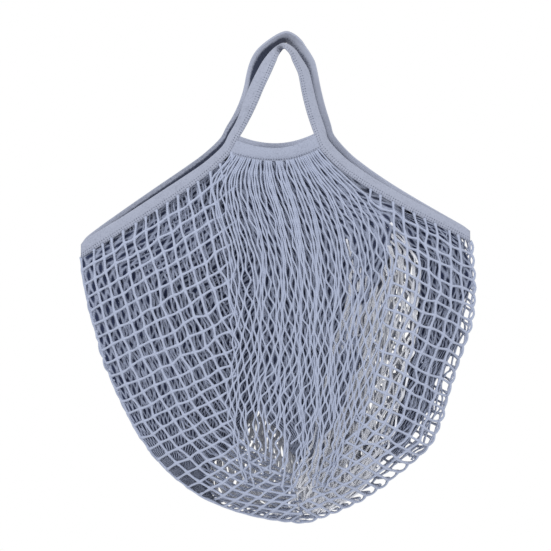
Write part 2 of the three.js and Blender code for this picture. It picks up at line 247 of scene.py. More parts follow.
@dataclass
class BagShape:
    """The form of the hanging bag: where the net, the mouth and the tapes lie."""

    pouch_height: float = 359 * MM
    left_reach: float = 203 * MM
    right_reach: float = 186 * MM
    shoulder_drop: dict[Side, float] = by_side(103 * MM, 92 * MM)
    shoulder_sag: dict[Side, float] = by_side(6 * MM, 9.5 * MM)
    shoulder_skew: float = 0.6
    bottom_offset: float = 21 * MM
    belly_depth: float = 84 * MM
    fold_height: float = 5 * MM
    fold_length: float = 0.5
    mouth_depth: float = 52 * MM
    band_height: float = 13 * MM
    band_length: float = 90 * MM
    band_offset: float = -9 * MM
    band_thickness: float = 2.4 * MM
    band_bulge: float = 3 * MM
    band_rise: dict[Side, float] = by_side(8 * MM, 13 * MM)
    band_taper: dict[Side, float] = by_side(7 * MM, 5 * MM)
    handle_drop: float = 100 * MM
    tape_width: float = 17.5 * MM
    tape_thickness: float = 2.4 * MM
    apex_half_depth: float = 17.5 * MM
    seam_gap: float = 0.3 * MM
    cells: int = 8
    gathered_cells: int = 5
    cell_steps: int = 3
    leg_steps: int = 12
    leg_spacing: float = 1.4
    climb_roundness: float = 0.4
    belly_squareness: float = 0.25
    search_steps: tuple[int, int] = (70, 61)
    search_nearest: int = 6
    search_softness: float = 2 * MM

    def __post_init__(self) -> None:
        """Work out the outline curves and the heights that other places follow."""
        self.band_middle = -(self.handle_drop + self.band_height)
        self.lowest = self.band_middle - self.pouch_height
        self.outlines = {side: self._outline(side) for side in Side}

    def band_point(self, half: Half, across: np.ndarray, top: bool = False) -> np.ndarray:
        """Return points on the lower or the upper edge of a band.

        Args:
            half: The front or the back half.
            across: From the band's left end (-1) to its right end (1).
            top: Whether the upper edge is meant.

        Returns:
            Rows of three numbers.
        """
        across = np.asarray(across, float)
        left = across < 0
        rise, taper = (np.where(left, *sides.values()) for sides in (self.band_rise, self.band_taper))
        reach = self.band_length / 2 + np.where(left, 0, half.band_extra) - taper * top
        return np.stack([
            self.band_offset + across * reach,
            half.facing * (self.mouth_depth / 2 - self.band_bulge * across**2),
            self.band_middle + half.band_lift + rise * across**2 + top * self.band_height,
        ], -1)

    def corner(self, side: Side) -> np.ndarray:
        """Return the net's corner at the far end of a shoulder, where front and back meet.

        Args:
            side: Which of the shoulders.

        Returns:
            Three numbers.
        """
        height = self.band_middle + self.band_rise[side] - self.shoulder_drop[side]
        reach = self.left_reach if side is Side.LEFT else self.right_reach
        return np.array([side.value * reach, 0.0, height])

    def shoulder(self, half: Half, side: Side, share: np.ndarray) -> np.ndarray:
        """Return points on a shoulder, from the band's end (0) to the corner (1).

        Args:
            half: The front or the back half.
            side: Which of its shoulders.
            share: Places along it.

        Returns:
            Rows of three numbers.
        """
        share = np.asarray(share, float)[..., None]
        points = lerp(self.band_point(half, side.value), self.corner(side), share)
        points[..., 2] -= self.shoulder_sag[side] * np.sin(math.pi * share[..., 0] ** self.shoulder_skew)
        return points

    def _outline(self, side: Side) -> tuple[np.ndarray, np.ndarray]:
        """Return the outline below a corner as close points with their shares of its length.

        Args:
            side: Which of the corners.

        Returns:
            The points, and how far along the outline each lies, from 0 to 1.
        """
        corner, table = self.corner(side), OUTLINES[side].columns
        points = curve_through(np.stack([
            lerp(corner[0], self.bottom_offset, table["across"]),
            np.zeros(len(table["across"])),
            lerp(corner[2], self.lowest, table["down"]),
        ], -1))
        length = lengths_along(points)
        return points, length / length[-1]

    def row_end(self, half: Half, side: Side, row: np.ndarray) -> np.ndarray:
        """Return where rows of cells end: on a shoulder above the corners, on the outline below.

        Args:
            half: The front or the back half.
            side: The end that is meant.
            row: Rows, counted as the strands are.

        Returns:
            Rows of three numbers.
        """
        share = np.clip((row - self.gathered_cells) / (self.cells - self.gathered_cells), 0, 1)
        points, length = self.outlines[side]
        down = np.clip((row - self.cells) / self.cells, 0, 1)
        below = np.stack([np.interp(down, length, points[:, i]) for i in range(3)], -1)
        return np.where((row <= self.cells)[..., None], self.shoulder(half, side, share), below)

    def net_point(self, half: Half, a: np.ndarray, b: np.ndarray) -> np.ndarray:
        """Return points on the net.

        Args:
            half: The front or the back half.
            a: Strands counted from the left shoulder.
            b: Strands counted from the right shoulder.

        Returns:
            Rows of three numbers.
        """
        row = a + b
        share = row / (2 * self.cells)
        reach = np.minimum(row, 2 * self.cells - row)
        across = np.where(reach > TINY, np.clip((a - b) / np.maximum(reach, TINY), -1, 1), 0)
        below = np.clip((row - self.gathered_cells) / (self.cells - self.gathered_cells), 0, 1)
        drop, drift, gather, mouth, belly = (
            MIDDLE_LINE.read(name, share) for name in ("drop", "drift", "gather", "mouth", "belly"))

        width = self.left_reach + self.right_reach
        middle = np.stack([
            lerp(self.band_offset, self.bottom_offset, drop) + drift * width,
            half.facing * (self.mouth_depth / 2 * mouth + self.belly_depth / 2 * belly),
            self.band_middle - self.pouch_height * drop + half.band_lift * (1 - below) ** 2,
        ], -1)
        end = np.where((across < 0)[..., None], self.row_end(half, Side.LEFT, row),
                       self.row_end(half, Side.RIGHT, row))
        out = np.minimum((1 - gather) * np.abs(across) + gather * across**2, 1)
        bell = (1 - np.cos(math.pi * out)) / 2
        climb = lerp(out**2, lerp(out**2, bell, self.climb_roundness), below)
        roundness = (1 - out**2) ** (1 - self.belly_squareness * below)

        fold_run = np.clip((share - MIDDLE_LINE.keys[0]) / self.fold_length, 0, 1)
        fold_fade = (1 - out**4) * np.sin(math.pi * fold_run) ** 2
        fold = sum(height * hill(across, place, breadth) for place, breadth, height in FOLDS)
        return np.stack([
            lerp(middle[..., 0], end[..., 0], out),
            lerp(end[..., 1], middle[..., 1], roundness) + half.facing * self.fold_height * fold * fold_fade,
            lerp(middle[..., 2], end[..., 2], climb),
        ], -1)

    def row_point(self, half: Half, share: np.ndarray, across: np.ndarray) -> np.ndarray:
        """Return points on the net by the share of all rows and the place across the row.

        Args:
            half: The front or the back half.
            share: The row, as a share of all rows.
            across: From the row's left end (-1) to its right end (1).

        Returns:
            Rows of three numbers.
        """
        row = share * 2 * self.cells
        reach = np.minimum(row, 2 * self.cells - row)
        return self.net_point(half, (row + across * reach) / 2, (row - across * reach) / 2)

    def depth_at(self, half: Half, places: np.ndarray) -> np.ndarray:
        """Return how far in front or behind the net lies at places seen from the front.

        Args:
            half: The front or the back half.
            places: Rows of two numbers, to the right and up.

        Returns:
            One number for each place.
        """
        rows, columns = self.search_steps
        share, across = np.meshgrid(
            np.linspace(MIDDLE_LINE.keys[0], 1, rows), np.linspace(-1, 1, columns), indexing="ij")
        flat = self.row_point(half, share, across).reshape(-1, 3)
        gaps = (places[:, None, 0] - flat[None, :, 0]) ** 2 + (places[:, None, 1] - flat[None, :, 2]) ** 2
        nearest = np.argsort(gaps, axis=1)[:, :self.search_nearest]
        weights = 1 / (np.take_along_axis(gaps, nearest, 1) + self.search_softness**2)
        return (flat[nearest, 1] * weights).sum(1) / weights.sum(1)

    def tape_line(self, half: Half) -> dict[str, np.ndarray]:
        """Return the line on which the net and a band meet a tape.

        Args:
            half: The front or the back half.

        Returns:
            The points, the tape's direction across and its turn in degrees, from the left corner
            over the handle to the right corner.
        """
        steps = (self.cells - self.gathered_cells) * self.cell_steps
        apex = np.array([half.apex_shift, half.facing * self.apex_half_depth, half.apex_lift])
        points, turns = [], []

        def shoulder(side: Side, share: float) -> None:
            """Add a station on a shoulder."""
            points.append(self.shoulder(half, side, share))
            turns.append(LEGS.columns["turn_" + side.name.lower()][-1] * (1 - share))

        def leg(side: Side, down: float) -> None:
            """Add a station on a leg of the handle.

            Args:
                side: Which of the legs.
                down: How far down it the station lies, from 0 to 1.
            """
            foot = self.band_point(half, side.value, top=True)
            out = LEGS.read(side.name.lower(), down)
            point = lerp(apex, foot, down)
            point[0] = lerp(apex[0], foot[0], out)
            point[0] += side.value * half.leg_spread * math.sin(math.pi * math.sqrt(down))
            points.append(point)
            turns.append(float(LEGS.read("turn_" + side.name.lower(), down)))

        for i in range(steps, -1, -1):
            shoulder(Side.LEFT, i / steps)
        for i in range(self.leg_steps, 0, -1):
            leg(Side.LEFT, (i / self.leg_steps) ** self.leg_spacing)
        for i in range(self.leg_steps + 1):
            leg(Side.RIGHT, (i / self.leg_steps) ** self.leg_spacing)
        for i in range(steps + 1):
            shoulder(Side.RIGHT, i / steps)

        line = np.array(points)
        line[[0, -1], 1] = half.facing * (self.tape_thickness + self.seam_gap) / 2
        last = len(line) - 1
        run = line[np.minimum(np.arange(last + 1) + 2, last)] - line[np.maximum(np.arange(last + 1) - 2, 0)]
        run[:, 1] = 0
        run = unit(run)
        turn = np.radians(np.array(turns))
        across = np.stack([
            -run[:, 2] * np.cos(turn), -half.facing * np.sin(turn), run[:, 0] * np.cos(turn)], -1)
        across[[0, -1]] = (0, 0, 1)
        return {"point": line, "across": across, "turn": np.array(turns)}


def cell_corners(grid: np.ndarray) -> list[np.ndarray]:
    """Return a grid's values at the four corners of each of its cells."""
    return [grid[:-1, :-1], grid[:-1, 1:], grid[1:, 1:], grid[1:, :-1]]


class MeshParts:
    """Vertices and faces of one piece, gathered part by part."""

    def __init__(self) -> None:
        """Start with nothing."""
        self.points: list[np.ndarray] = []
        self.faces: list[list[int]] = []
        self.places: list[np.ndarray] = []
        self.shades: list[np.ndarray] = []
        self.count = 0

    def add_loops(self, points: np.ndarray, places: np.ndarray, shade: np.ndarray | float = 1.0) -> None:
        """Add a closed form of loops of points, one after the other, with a face on each end.

        Args:
            points: The loops, as an array of loops, points of each loop and three numbers.
            places: Place along and place across of each point, for the finish, where a loop may have
                one place more for the point where it closes.
            shade: The painted light and shade of each point: 0 is painted dark shade, 1 is plain and more is
                painted pale light.
        """
        rows, columns = points.shape[:2]
        index = self.count + np.arange(rows * columns).reshape(rows, columns)
        index = np.concatenate([index, index[:, :1]], 1)
        if places.shape[1] == columns:
            places = np.concatenate([places, places[:, :1]], 1)
        self.faces += np.stack([c.ravel() for c in cell_corners(index)], -1).tolist()
        self.places.append(np.stack([c.reshape(-1, 2) for c in cell_corners(places)], 1).reshape(-1, 2))
        for ring, spot in ((index[0, :columns][::-1], places[0]), (index[-1, :columns], places[-1])):
            self.faces.append(ring.tolist())
            self.places.append(spot[:columns])
        self.points.append(points.reshape(-1, 3))
        self.shades.append(np.broadcast_to(shade, (rows, columns)).ravel())
        self.count += rows * columns

    def add_tube(self, path: np.ndarray, radius: np.ndarray | float, sides: int, shade: float) -> None:
        """Add a cord along a path.

        Args:
            path: The middle line, as rows of three numbers.
            radius: The cord's radius, for all points or for each.
            sides: How many sides the cord has.
            shade: The painted light and shade of the whole cord.
        """
        run = unit(np.gradient(path, axis=0))
        beside = unit(np.cross(run, (0.0, 1.0, 0.0)), (1.0, 0.0, 0.0))
        front = np.cross(beside, run)
        angle = 2 * math.pi * np.arange(sides) / sides
        radius = np.broadcast_to(radius, len(path))[:, None, None]
        ring = beside[:, None] * np.cos(angle)[:, None] + front[:, None] * np.sin(angle)[:, None]
        around = np.arange(sides + 1) / sides
        places = np.stack(np.meshgrid(lengths_along(path), around, indexing="ij"), -1)
        self.add_loops(path[:, None] + ring * radius, places, shade)

    def piece(self, name: str, material: bpy.types.Material) -> bpy.types.Object:
        """Make the piece's object.

        Args:
            name: The object's name.
            material: Its finish.

        Returns:
            The object, with smooth faces, the places and the shade.
        """
        mesh = bpy.data.meshes.new(name)
        mesh.from_pydata(np.vstack(self.points), [], self.faces)
        places = mesh.uv_layers.new(name="places")
        places.data.foreach_set("uv", np.vstack(self.places).astype(np.float32).ravel())
        shade = mesh.attributes.new("shade", "FLOAT", "POINT")
        shade.data.foreach_set("value", np.concatenate(self.shades).astype(np.float32))
        mesh.polygons.foreach_set("use_smooth", np.ones(len(mesh.polygons), bool))
        mesh.validate()
        mesh.materials.append(material)
        thing = bpy.data.objects.new(name, mesh)
        bpy.context.scene.collection.objects.link(thing)
        return thing


class Piece:
    """A part of the bag that is built as one object."""

    def fill(self, parts: MeshParts) -> None:
        """Add all the faces of the piece."""
        raise NotImplementedError

    def build(self, name: str, material: bpy.types.Material) -> bpy.types.Object:
        """Return the piece as an object.

        Args:
            name: The object's name.
            material: Its finish.

        Returns:
            The object.
        """
        parts = MeshParts()
        self.fill(parts)
        return parts.piece(name, material)


class Signal:
    """A shader socket that takes part in plain arithmetic."""

    def __init__(self, tree: bpy.types.NodeTree, socket: bpy.types.NodeSocket) -> None:
        """Wrap an output socket of a node in the tree."""
        self.tree = tree
        self.socket = socket

    def _math(self, operation: str, first: "Signal | float", second: "Signal | float") -> "Signal":
        """Return the outcome of one operation on two values.

        Args:
            operation: The name of the operation.
            first: The first value.
            second: The second value.

        Returns:
            The outcome.
        """
        made = self.tree.nodes.new("ShaderNodeMath")
        made.operation = operation
        for socket, value in zip(made.inputs, (first, second)):
            if isinstance(value, Signal):
                self.tree.links.new(value.socket, socket)
            else:
                socket.default_value = value
        return Signal(self.tree, made.outputs[0])

    def __add__(self, other: "Signal | float") -> "Signal":
        """Return self + other."""
        return self._math("ADD", self, other)

    __radd__ = __add__

    def __mul__(self, other: "Signal | float") -> "Signal":
        """Return self * other."""
        return self._math("MULTIPLY", self, other)

    __rmul__ = __mul__

    def __sub__(self, other: "Signal | float") -> "Signal":
        """Return self - other."""
        return self._math("SUBTRACT", self, other)

    def __rsub__(self, other: float) -> "Signal":
        """Return other - self."""
        return self._math("SUBTRACT", other, self)

    def wave(self) -> "Signal":
        """Return the sine of this value."""
        return self._math("SINE", self, 0.0)

    def size(self) -> "Signal":
        """Return this value without its sign."""
        return self._math("ABSOLUTE", self, 0.0)


class Recipe:
    """The nodes of one material."""

    def __init__(self, name: str) -> None:
        """Start a material that has nothing but its output and its shader.

        Args:
            name: The material's name.
        """
        self.material = bpy.data.materials.new(name)
        self.material.use_nodes = True
        self.tree = self.material.node_tree
        self.shader = self.tree.nodes["Principled BSDF"]

    def node(
        self,
        kind: str,
        settings: dict[str, object] | None = None,
        inputs: dict[str, object] | None = None,
        output: str | int = 0,
    ) -> Signal:
        """Add a node.

        Args:
            kind: The node's type.
            settings: Its properties, set first.
            inputs: Values or signals for its sockets, by name or number.
            output: The socket that is returned.

        Returns:
            The output as a signal.
        """
        made = self.tree.nodes.new(kind)
        for key, value in (settings or {}).items():
            setattr(made, key, value)
        for key, value in (inputs or {}).items():
            if isinstance(value, Signal):
                self.tree.links.new(value.socket, made.inputs[key])
            else:
                made.inputs[key].default_value = value
        return Signal(self.tree, made.outputs[output])

    def mix(self, factor: Signal | float, first: object, second: object) -> Signal:
        """Return a colour between two colours."""
        return self.node(
            "ShaderNodeMix", {"data_type": "RGBA"}, {0: factor, 6: first, 7: second}, output=2)

    def noise(self, place: Signal, scale: float, detail: float = 2.0) -> Signal:
        """Return soft noise from 0 to 1 at a place."""
        return self.node(
            "ShaderNodeTexNoise", None, {"Vector": place, "Scale": scale, "Detail": detail}, output="Fac")

    def spread(self, value: Signal, low: float, high: float) -> Signal:
        """Return 0 where a value is low, 1 where it is high and smooth values between."""
        return self.node("ShaderNodeMapRange", {"interpolation_type": "SMOOTHSTEP"}, {
            "Value": value, "From Min": low, "From Max": high, "To Min": 0.0, "To Max": 1.0})

    def feed(self, name: str, signal: Signal) -> None:
        """Lead a signal into one of the shader's sockets."""
        self.tree.links.new(signal.socket, self.shader.inputs[name])


@dataclass(frozen=True)
class CottonFinish:
    """Matt knitted cotton whose colour carries painted light and shade: plain in the open, painted dark
    shade between the cords and in hollows, and painted pale light where light shows through.
    """

    name: str
    # light is the cotton's plain colour; dark is the painted shade colour; pale is the painted light colour,
    # reached as the shade value rises to pale_shade.
    light: tuple[float, float, float, float]
    dark: tuple[float, float, float, float]
    stitch_length: float
    stitch_width: float
    relief: float
    roughness: float = 0.92
    sheen: float = 0.12
    pale: tuple[float, float, float, float] = (0.38, 0.41, 0.51, 1)
    pale_shade: float = 1.5
    mark_rows: tuple[float, ...] = ()
    mark_length: float = 2.6 * MM
    mark_width: float = 0.9 * MM
    mark_core: float = 0.3
    mark_dot: float = 0.7
    mark_depth: float = 0.5
    fuzz_scale: float = 1400.0
    fuzz_depth: float = 0.10
    fuzz_middle: float = 0.62
    blotch_scale: float = 60.0
    blotch_depth: float = 0.28
    stitch_slant: float = 2.5
    stitch_depth: float = 0.035
    slant_height: float = 0.6
    stitch_height: float = 0.3
    fuzz_height: float = 0.35
    bump_strength: float = 0.8
    sheen_roughness: float = 0.6
    specular: float = 0.2

    def material(self) -> bpy.types.Material:
        """Return the finish as a material.

        Returns:
            The material, which reads the places and the shade of a mesh.
        """
        recipe = Recipe(self.name)
        place = recipe.node("ShaderNodeTexCoord", output="Object")
        spot = recipe.node("ShaderNodeUVMap", {"uv_map": "places"})
        parts = recipe.tree.nodes.new("ShaderNodeSeparateXYZ")
        recipe.tree.links.new(spot.socket, parts.inputs[0])
        along = Signal(recipe.tree, parts.outputs[0])
        across = Signal(recipe.tree, parts.outputs[1])
        shade = recipe.node("ShaderNodeAttribute", {"attribute_name": "shade"}, output="Fac")

        slant = (across * (math.pi / self.stitch_width)).wave().size()
        stitch = (along * (2 * math.pi / self.stitch_length) + slant * self.stitch_slant).wave()
        blotches = recipe.noise(place, self.blotch_scale)
        fuzz = recipe.noise(place, self.fuzz_scale, 3.0)
        tone = shade * (1 - self.blotch_depth / 2 + blotches * self.blotch_depth)
        tone = tone + stitch * self.stitch_depth + (fuzz - self.fuzz_middle) * self.fuzz_depth
        # Dotted stitch marks along the strap. They are partly real stitches and partly a painted shadow line
        # near its lower edge.
        for row in self.mark_rows:
            line = recipe.spread((across - row).size(), self.mark_width, self.mark_core * self.mark_width)
            dots = recipe.spread((along * (2 * math.pi / self.mark_length)).wave(), 0.0, self.mark_dot)
            tone = tone - line * dots * self.mark_depth
        # Painted light and shade: the shade value mixes from the painted dark shade up to the plain colour,
        # and past 1 on to the painted pale light.
        cotton = recipe.mix(recipe.spread(tone, 0.0, 1.0), self.dark, self.light)
        recipe.feed("Base Color", recipe.mix(recipe.spread(shade, 1.0, self.pale_shade), cotton, self.pale))
        height = slant * self.slant_height + stitch * self.stitch_height + fuzz * self.fuzz_height
        recipe.feed("Normal", recipe.node("ShaderNodeBump", None, {
            "Height": height, "Distance": self.relief, "Strength": self.bump_strength}))
        for name, value in (
            ("Roughness", self.roughness), ("Sheen Weight", self.sheen),
            ("Sheen Roughness", self.sheen_roughness), ("Specular IOR Level", self.specular),
        ):
            recipe.shader.inputs[name].default_value = value
        return recipe.material


CORD_COTTON = CottonFinish(
    "cord_cotton", (0.338, 0.378, 0.495, 1), (0.010, 0.017, 0.050, 1), 1.9 * MM, 0.25, 0.25 * MM,
    pale=(0.74, 0.75, 0.79, 1))
TAPE_COTTON = CottonFinish(
    "tape_cotton", (0.293, 0.318, 0.400, 1), (0.025, 0.032, 0.06, 1), 1.6 * MM, 1.5 * MM, 0.16 * MM,
    mark_rows=(0.6 * MM, 3.0 * MM), fuzz_scale=620.0, fuzz_depth=0.9)
BAND_COTTON = CottonFinish(
    "band_cotton", (0.293, 0.322, 0.412, 1), (0.025, 0.032, 0.06, 1), 1.6 * MM, 1.5 * MM, 0.16 * MM,
    mark_rows=(1.4 * MM,), fuzz_scale=620.0, fuzz_depth=0.9)


@dataclass
class CordNet(Piece):
    """Cords that touch their neighbours in turn, and so leave cells between them."""

    shape: BagShape
    half: Half
    cord_radius: float = 1.12 * MM
    knot_radius: float = 1.8 * MM
    knot_half_width: float = 0.5 * MM
    knot_shortness: int = 4
    steps: int = 6
    sides: int = 6
    bend: float = 0.9
    droop: float = 0.15
    jitter: float = 0.10
    slack: float = 0.6 * MM
    slack_ways: tuple[float, float, float] = (0.6, 1.0, 0.6)
    seed: int = 5
    # Painted light and shade of the whole net: below 1 paints it darker as painted shade, above 1 paler as
    # painted light.
    shade: float = 1.0

    def add_cord(
        self,
        parts: MeshParts,
        middle: np.ndarray,
        down: np.ndarray,
        rng: np.random.Generator,
        bows: np.ndarray | None = None,
    ) -> None:
        """Add one cord.

        Args:
            parts: What the cord is added to.
            middle: The places where it touches its neighbours.
            down: The direction down the net at each place.
            rng: The source of its looseness.
            bows: How far it bows out between one place and the next.
        """
        if len(middle) < 2:
            return
        t = (np.arange(self.steps) / self.steps)[:, None]
        near = np.abs(np.cos(math.pi * t[:, 0])) ** self.knot_shortness
        arc = np.sin(math.pi * t)
        pieces, radii = [], []
        for i, (start, end) in enumerate(zip(middle[:-1], middle[1:])):
            pull = np.linalg.norm(end - start) * self.bend
            run = unit(end - start)
            leave = unit(lerp(run, down[i], self.droop)) * pull
            arrive = unit(lerp(run, down[i + 1], self.droop)) * pull
            path = bend_between(t, start, leave, end, arrive)
            path = path + arc * rng.normal(0, self.slack, 3) * self.slack_ways
            pieces.append(path if bows is None else path + arc * bows[i])
            radii.append(lerp(self.cord_radius, self.knot_radius, near))
        pieces.append(middle[-1:])
        radii.append([self.knot_radius])
        parts.add_tube(np.vstack(pieces), np.concatenate(radii), self.sides, self.shade)


@dataclass
class NetPanel(CordNet):
    """The net on one side of the pouch, from the band and the shoulders to the outline."""

    cells: int = 30
    gathered: int = 16
    least_gather: float = 0.001
    dip: float = 0.06
    dip_squareness: float = 0.4
    edge_power: float = 2.5
    look_ahead: float = 0.6

    def _places(self, a: np.ndarray, b: np.ndarray) -> np.ndarray:
        """Return points on the net by the counts of its own cells.

        Args:
            a: Strands counted from the left shoulder.
            b: Strands counted from the right shoulder.

        Returns:
            Rows of three numbers.
        """
        n, gathered = self.cells, self.gathered
        a, b = np.clip(a, 0, n), np.clip(b, 0, n)
        row = np.clip(a + b, gathered, 2 * n)
        reach = np.minimum(row, 2 * n - row)
        across = np.where(reach > TINY, np.clip((a - b) / np.maximum(reach, TINY), -1, 1), 0)
        first = self.shape.gathered_cells / self.shape.cells / 2
        share = np.where(row < n, lerp(first, 0.5, (row - gathered) / (n - gathered)), row / (2 * n))
        gather = np.maximum(MIDDLE_LINE.read("gather", share), self.least_gather)
        even = (np.sqrt((1 - gather) ** 2 + 4 * gather * np.abs(across)) - (1 - gather)) / (2 * gather)
        inward = 1 - np.clip(even, 0, 1)
        edge_share = EDGE_SPACING.read("share", row / n)
        across = np.sign(across) * (1 - inward * (edge_share + (1 - edge_share) * inward**self.edge_power))
        dip = self.dip * inward * (1 + self.dip_squareness * (1 - inward))
        share = share + dip * np.sin(math.pi * (share - first) / (1 - first))
        return self.shape.row_point(self.half, share, across)

    def _junctions(self) -> tuple[np.ndarray, np.ndarray, np.ndarray]:
        """Return the places where cords touch, with the directions down and across there.

        Returns:
            The places, the directions down and the directions across, each by the counts a and b.
        """
        n, step = self.cells, self.look_ahead
        a, b = whole_grid(n, n)
        loose = np.random.default_rng(self.seed).normal(0, 1, (2, n + 1, n + 1)) * self.jitter
        open_rows = (a + b) > self.gathered
        a, b = a + loose[0] * ((a > 0) & (a < n)) * open_rows, b + loose[1] * ((b > 0) & (b < n)) * open_rows
        down = unit(self._places(a + step, b + step) - self._places(a - step, b - step))
        across = unit(self._places(a + step, b - step) - self._places(a - step, b + step), (1.0, 0.0, 0.0))
        return self._places(a, b), down, across

    def _strand(self, column: int) -> tuple[np.ndarray, np.ndarray, np.ndarray]:
        """Return the counts a and b of the junctions that a cord passes, and on which side it passes.

        Args:
            column: The cord.

        Returns:
            The counts a, the counts b, and 1 or -1 for each junction.
        """
        row = np.arange(self.gathered, 2 * self.cells + 1)
        left = (row - column) % 2 == 0
        place = np.where(left, column, column + 1)
        a, b = (row + place) // 2, (row - place) // 2
        kept = (a >= 0) & (a <= self.cells) & (b >= 0) & (b <= self.cells)
        return a[kept], b[kept], np.where(left, 1, -1)[kept]

    def fill(self, parts: MeshParts) -> None:
        """Add all the cords, each as far as the outline.

        Args:
            parts: What it all is added to.
        """
        n = self.cells
        points, down, across = self._junctions()
        rng = np.random.default_rng(self.seed + 1)
        for column in range(-n, n):
            a, b, sides = self._strand(column)
            on_rim = ((a[:-1] == n) & (a[1:] == n)) | ((b[:-1] == n) & (b[1:] == n))
            last = int(np.argmax(on_rim)) + 1 if on_rim.any() else len(a)
            middle = points[a, b] + across[a, b] * (sides * self.knot_half_width)[:, None]
            self.add_cord(parts, middle[:last], down[a, b][:last], rng)


@dataclass
class GridNet(CordNet):
    """One side of the front net: cords along the outline, crossed by cords along the shoulder."""

    side: Side = Side.LEFT
    limit: Table | None = None
    spacing: float = 13.2 * MM
    breadth: float = 280 * MM
    rows: int = 28
    lean: tuple[float, float, float] = (0.0, -7.0, 8.0)
    lean_places: tuple[float, float, float] = (0.0, 0.4, 1.0)
    inset: float = 0.0
    has_rows: bool = True
    droop: float = 1.0
    scallop: float = 2.6 * MM
    scallop_from: float = -60 * MM
    scallop_over: float = 90 * MM
    scallop_least: float = 0.1

    def _scallop(self, start: np.ndarray, end: np.ndarray) -> np.ndarray:
        """Return how far the rim bows out between two places on the outline.

        Args:
            start: The first place.
            end: The second place.

        Returns:
            Three numbers.
        """
        run = unit(end - start)
        middle = (start + end) / 2
        out = np.array([-run[2], 0.0, run[0]])
        out *= np.sign(out @ (middle - (0.0, 0.0, self.shape.lowest / 2))) or 1.0
        loose = np.clip((middle[0] - self.scallop_from) / self.scallop_over, self.scallop_least, 1)
        return out * self.scallop * loose

    def _places(self, row: np.ndarray, column: np.ndarray) -> np.ndarray:
        """Return places, still flat, by the rows down the outline and the columns in from it.

        Args:
            row: Rows down the outline from the corner.
            column: Columns in from the outline.

        Returns:
            Rows of three numbers.
        """
        corner = self.shape.corner(self.side)
        points, length = self.shape.outlines[self.side]
        down = np.clip(row / self.rows, 0, 1)
        rim = np.stack([np.interp(down, length, points[:, i]) for i in range(3)], -1)
        inner = self.shape.shoulder(self.half, self.side, 0.0)
        share = column * self.spacing / np.linalg.norm(inner - corner)
        step = self.shape.shoulder(self.half, self.side, 1 - np.clip(share, 0, 1)) - corner
        step = step + (inner - corner) * np.maximum(share - 1, 0)[..., None]
        lean = np.radians(np.interp(down, self.lean_places, self.lean)) * -self.side.value
        return np.stack([
            rim[..., 0] + step[..., 0] * np.cos(lean) - step[..., 2] * np.sin(lean),
            0 * lean,
            rim[..., 2] + step[..., 0] * np.sin(lean) + step[..., 2] * np.cos(lean),
        ], -1)

    def fill(self, parts: MeshParts) -> None:
        """Add the cords along the outline, the rim first, and then those along the shoulder.

        Args:
            parts: What it all is added to.
        """
        rng = np.random.default_rng(self.seed)
        row, column = whole_grid(self.rows, int(self.breadth / self.spacing))
        loose = rng.normal(0, self.jitter, (2, *row.shape)) * (column > 0)
        points = self._places(row + loose[0] * (row > 0) * (row < self.rows), column + loose[1])
        edge = self.limit.read("across", -points[..., 2])
        inside = (points[..., 0] - edge) * self.side.value > 0
        flat = points.reshape(-1, 3)
        flat[:, 1] = self.shape.depth_at(self.half, flat[:, [0, 2]]) - self.half.facing * self.inset
        points[:, 0, 1] = 0
        lines = list(zip(points.swapaxes(0, 1), inside.T))
        if self.has_rows:
            lines += list(zip(points[1:-1], inside[1:-1]))
        for i, (line, kept) in enumerate(lines):
            for start, stop in self._runs(kept):
                path = line[start:stop]
                bows = [self._scallop(p, q) for p, q in zip(path[:-1], path[1:])] if i == 0 else None
                self.add_cord(parts, path, unit(np.gradient(path, axis=0)), rng, bows)

    def _runs(self, kept: np.ndarray) -> list[tuple[int, int]]:
        """Return the starts and stops of the unbroken runs of two or more kept places."""
        edges = np.flatnonzero(np.diff(np.concatenate([[0], kept.astype(int), [0]])))
        return [(i, j) for i, j in zip(edges[::2], edges[1::2]) if j - i > 1]


